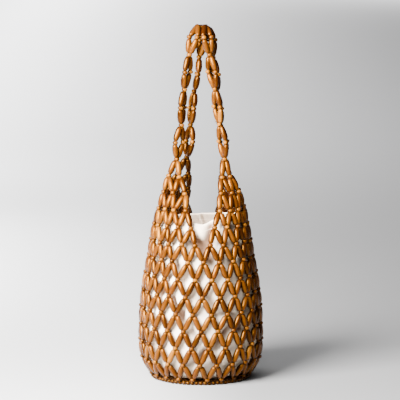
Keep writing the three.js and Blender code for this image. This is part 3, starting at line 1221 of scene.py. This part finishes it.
@dataclass
class Liner:
    """Cloth pouch inside the net, with slack folds and a stitched hem."""

    columns: int = 240
    floor_levels: int = 8
    wall_levels: int = 96
    cloth: float = 1.3
    hem_height: float = 11.0
    hem_extra: float = 0.35
    loose_creases: int = 86
    proud: float = 0.6
    # How deep a fold must be before its painted shade starts, and over what depth it builds up; inner_shade
    # is the painted shade of the inner face.
    deep_fold: float = 6.5
    fold_start: float = 2.0
    inner_shade: float = 0.45
    arc_radius: float = 82.0
    seed: int = 5
    smoothing: int = 14
    rim_smoothing: int = 6
    floor_hole: float = 0.04
    wall_ease: float = 9.0
    rim_reach: float = 60.0
    rim_pull: float = 1.4
    rim_pull_height: float = 14.0
    least_radius: float = 0.5
    inner_weave: float = 40.0

    @property
    def angles(self) -> Floats:
        """Place of each column round the liner, in radians."""
        return np.arange(self.columns) * 2.0 * math.pi / self.columns

    def section(self) -> Floats:
        """Half width, half depth and height of the outer face from the middle of the floor to the rim."""
        rings = np.roll(np.array(LINER_RINGS), -1, axis=1)
        steps = np.concatenate([[0.0], np.cumsum(np.linalg.norm(np.diff(rings, axis=0), axis=1))])
        fine = np.linspace(0.0, steps[-1], self.wall_levels)
        wall = np.stack([np.interp(fine, steps, rings[:, axis]) for axis in range(3)], axis=-1)
        for _ in range(self.smoothing):
            wall[1:-1] = (wall[:-2] + 2.0 * wall[1:-1] + wall[2:]) / 4.0
        reach = np.linspace(self.floor_hole, 1.0, self.floor_levels, endpoint=False)[:, None]
        floor = wall[0] * np.concatenate([reach, reach, np.ones_like(reach)], axis=1)
        return np.concatenate([floor, wall])

    def creases(self) -> list[Crease]:
        """The folds that are seen and the loose ones all round."""
        chance = np.random.default_rng(self.seed)
        loose = []
        for number in range(self.loose_creases):
            turn = (number + chance.uniform(-0.4, 0.4)) * 360.0 / self.loose_creases * 7.0
            lean = chance.choice([-1.0, 1.0]) * chance.uniform(28.0, 66.0)
            size = chance.uniform(0.5, 1.0)
            height = chance.uniform(40.0, 232.0)
            loose.append(Crease(turn, height, lean, 80.0 * size, 4.2 + 3.6 * size, 7.0 * size))
        return [*SEEN_CREASES, *loose]

    def push(self, angle: Floats, height: Floats) -> Floats:
        """How far the cloth falls inward.

        Args:
            angle: Place round the liner in radians.
            height: Above the floor.

        Returns:
            Distance into the bag, at least minus the proud allowance.
        """
        total = 0.8 * np.sin(3.0 * angle + height / 31.0) * np.sin(height / 47.0 + 1.0)
        total = total + 0.5 * np.sin(7.0 * angle - height / 23.0)
        for crease in self.creases():
            apart = (angle - math.radians(crease.turn) + math.pi) % (2.0 * math.pi) - math.pi
            lean = math.radians(crease.lean)
            arc, rise = apart * self.arc_radius, height - crease.height
            along = arc * math.cos(lean) + rise * math.sin(lean)
            off = rise * math.cos(lean) - arc * math.sin(lean)
            ends = np.exp(-np.abs(2.0 * along / crease.length) ** 3.0)
            valley = np.exp(-((off / crease.width) ** 2))
            ridge = np.exp(-(((off - 1.9 * crease.width) / (1.3 * crease.width)) ** 2))
            total = total + crease.depth * ends * (valley - crease.ridge * ridge)
        return np.maximum(total, -self.proud)

    def rim_wave(self, angle: Floats) -> Floats:
        """Rise and dip of the rim round the mouth."""
        turns, lifts = np.array(RIM_LIFTS).T
        wave = np.interp(np.degrees(angle), turns, lifts, period=360.0)
        for _ in range(self.rim_smoothing):
            wave = (np.roll(wave, 1) + 2.0 * wave + np.roll(wave, -1)) / 4.0
        return wave

    def face(self, section: Floats, inset: float) -> Floats:
        """Points of one face of the cloth.

        Args:
            section: The outer face's section.
            inset: How far the face lies inside it.

        Returns:
            Places by level and column.
        """
        angle = self.angles
        level = np.arange(len(section))[:, None]
        wall = np.clip((level - self.floor_levels) / self.wall_ease, 0.0, 1.0)
        wide, deep, height = (section[:, axis][:, None] for axis in range(3))
        below = section[-1, 2] - height
        hem = self.hem_extra * (below < self.hem_height) * (1.0 if inset == 0.0 else -1.0)
        fall = self.push(angle[None, :], height) * wall * wall - hem + inset * np.minimum(1.0, wall + 0.25)
        lift = self.rim_wave(angle)[None, :] * np.clip(1.0 - below / self.rim_reach, 0.0, 1.0) ** 2
        pull = self.rim_pull * np.clip(1.0 - below / self.rim_pull_height, 0.0, 1.0)
        fall = fall + 0.5 * np.maximum(lift, 0.0) + pull
        rise = inset * np.clip(1.0 - wall, 0.0, 1.0)
        x = np.maximum(wide - fall, self.least_radius) * np.sin(angle)
        y = -np.maximum(deep - fall, self.least_radius) * np.cos(angle)
        z = height + lift + rise + 0.0 * angle
        return np.stack([x, y, z], axis=-1)

    def build(self, cloth: Material) -> Piece:
        """Make the liner and hang it in the net.

        Args:
            cloth: Its finish.

        Returns:
            The piece.
        """
        section = self.section()
        outer, inner = self.face(section, 0.0), self.face(section, self.cloth)
        points = np.concatenate([outer, inner[::-1]])
        corners, sizes = tube_faces(*points.shape[:2])
        mesh = mesh_from("liner_cloth", points.reshape(-1, 3) * MM, corners, sizes)
        self.lay_weave(mesh, section)
        self.shade_folds(mesh, section)
        mesh.materials.append(cloth)
        piece = hung(shown("liner_cloth", mesh), Slot.CLOTH, "liner")
        return piece

    def shade_folds(self, mesh: Mesh, section: Floats) -> None:
        """Write the painted shade of each point of the cloth: darker deeper in a fold, and flat on the inner
        face below the rim.

        Args:
            mesh: The liner's mesh.
            section: The outer face's section.
        """
        depth = self.push(self.angles[None, :], section[:, 2][:, None])
        below = section[-1, 2] - section[:, 2][:, None]
        fold = np.clip((depth - self.fold_start) / self.deep_fold, 0.0, 1.0)
        fold = fold * np.clip((below - 1.0) / 4.0, 0.0, 1.0)
        # Painted shade on the inner face below the rim, and in the folds.
        inside = np.maximum(fold, self.inner_shade * np.clip((below - 0.5) / 2.5, 0.0, 1.0))
        write(mesh, "fold", np.concatenate([fold, inside[::-1]]).ravel())

    def lay_weave(self, mesh: Mesh, section: Floats) -> None:
        """Write the place in the cloth at each corner: round the liner, down from the rim, and the face.

        Args:
            mesh: The liner's mesh.
            section: The outer face's section.
        """
        rows = np.arange(2 * len(section) - 1)
        row, step = np.meshgrid(rows, np.arange(self.columns), indexing="ij")
        runs = np.concatenate([[0.0], np.cumsum(np.linalg.norm(np.diff(section[:, 1:], axis=0), axis=1))])
        down = np.concatenate([runs[-1] - runs, (runs[-1] - runs)[::-1]])
        arc = 2.0 * math.pi * self.arc_radius / self.columns
        face = np.where(row < len(section), 0.0, self.inner_weave)
        corners = [(step, row), (step + 1, row), (step + 1, row + 1), (step, row + 1)]
        places = [np.stack([column * arc, down[level], face], axis=-1) for column, level in corners]
        weave = np.stack(places, axis=2).reshape(-1, 3)
        rest = np.tile(np.array([0.0, runs[-1], 0.0]), (len(mesh.loops) - len(weave), 1))
        write(mesh, "weave", np.concatenate([weave, rest]), "CORNER")


# Studio


@dataclass(frozen=True)
class SoftLight:
    """One soft light.

    Attributes:
        name: What it is called.
        place: Where it stands, in metres.
        aim: What it faces, in metres.
        width: In metres.
        height: In metres.
        power: In watts.
        colour: Of its light.
        glints: Whether it shows in the gloss of the beads.
    """

    name: str
    place: Colour
    aim: Colour
    width: float
    height: float
    power: float
    colour: Colour
    glints: bool = True

    def build(self) -> None:
        """Make the light."""
        lamp = bpy.data.lights.new(self.name, "AREA")
        lamp.shape = "RECTANGLE"
        lamp.size, lamp.size_y = self.width, self.height
        lamp.energy = self.power
        lamp.color = self.colour
        light = bpy.data.objects.new(self.name, lamp)
        light.location = self.place
        light.visible_glossy = self.glints
        light.rotation_euler = (Vector(self.aim) - Vector(self.place)).to_track_quat("-Z", "Y").to_euler()
        bpy.context.scene.collection.objects.link(light)


WARM: Colour = (1.0, 0.985, 0.965)
WHITE: Colour = (1.0, 1.0, 1.0)
LIGHTS: tuple[SoftLight, ...] = (
    SoftLight("key_light", (-0.69, -0.82, 0.86), (0.0, 0.0, 0.24), 0.75, 0.75, 285.0, WARM),
    SoftLight("front_light", (-0.08, -1.2, 1.1), (0.0, 0.0, 0.22), 0.5, 0.5, 12.0, WARM),
    SoftLight("floor_light", (-1.0, 8.85, 0.76), (-0.6, 8.85, 0.0), 13.7, 0.5, 1820.0, WHITE, False),
    SoftLight("side_light", (-0.72, 1.05, 0.40), (-0.57, 1.05, 0.0), 1.3, 0.3, 62.0, WHITE, False),
    SoftLight("back_light", (2.2, 13.0, 1.2), (1.2, 13.0, 0.0), 6.0, 0.6, 1120.0, WHITE, False),
)


@dataclass
class Studio:
    """Grey floor, soft light and the camera."""

    floor_size: float = 60.0
    sky: Colour = (0.93, 0.96, 1.0)
    sky_power: float = 0.10
    distance: float = 4.0
    elevation: float = 8.1
    aim: Colour = (-0.0013, 0.0, 0.2856)
    lens: float = 225.0
    sensor: float = 36.0

    def build_camera(self) -> None:
        """Camera at the photograph's angle."""
        lens = bpy.data.cameras.new("camera")
        lens.sensor_width = self.sensor
        lens.lens = self.lens
        camera = bpy.data.objects.new("camera", lens)
        tilt = math.radians(self.elevation)
        away = Vector((0.0, -math.cos(tilt), math.sin(tilt))) * self.distance
        camera.location = Vector(self.aim) + away
        camera.rotation_euler = (math.pi / 2.0 - tilt, 0.0, 0.0)
        bpy.context.scene.collection.objects.link(camera)
        bpy.context.scene.camera = camera

    def build_floor(self) -> None:
        """Wide grey floor."""
        half = self.floor_size / 2.0
        points = np.array([(-half, -half, 0.0), (half, -half, 0.0), (half, half, 0.0), (-half, half, 0.0)])
        mesh = mesh_from("floor", points, np.arange(4), np.array([4]))
        mesh.materials.append(StudioPaper().make())
        shown("floor", mesh)

    def build_light(self) -> None:
        """Even sky and the soft lights."""
        world = bpy.data.worlds.new("studio_sky")
        world.use_nodes = True
        sky = next(node for node in world.node_tree.nodes if node.type == "BACKGROUND")
        sky.inputs["Color"].default_value = rgba(self.sky)
        sky.inputs["Strength"].default_value = self.sky_power
        bpy.context.scene.world = world
        for light in LIGHTS:
            light.build()


def main() -> None:
    """Build the bag and its studio."""
    logging.basicConfig(level=logging.INFO, format="%(name)s: %(message)s")
    studio = Studio()
    studio.build_camera()
    studio.build_floor()
    studio.build_light()
    wood, cord = BeadWood().make(), TwistedCord().make()
    net = BeadNet()
    net.string()
    layout = NetLayout(net)
    layout.lay()
    base = BaseBeads()
    # Darker wood for the base ring and mat; its beads also carry the painted side and end shade.
    dark_wood_and_painted_side_shade = DARKER_BASE_WOOD.make()
    pieces = [base.build_mat(dark_wood_and_painted_side_shade, cord), base.build_ring(dark_wood_and_painted_side_shade, cord)]
    for seed, owner in enumerate(Owner, 1):
        pieces.append(StrungPiece(layout, owner, seed).build(wood, cord))
    pieces.append(Liner().build(LinerCloth().make()))
    for piece in pieces:
        LOG.info("%s has %d faces", piece.name, len(piece.data.polygons))
    bpy.context.view_layer.update()


if __name__ == "__main__":
    main()
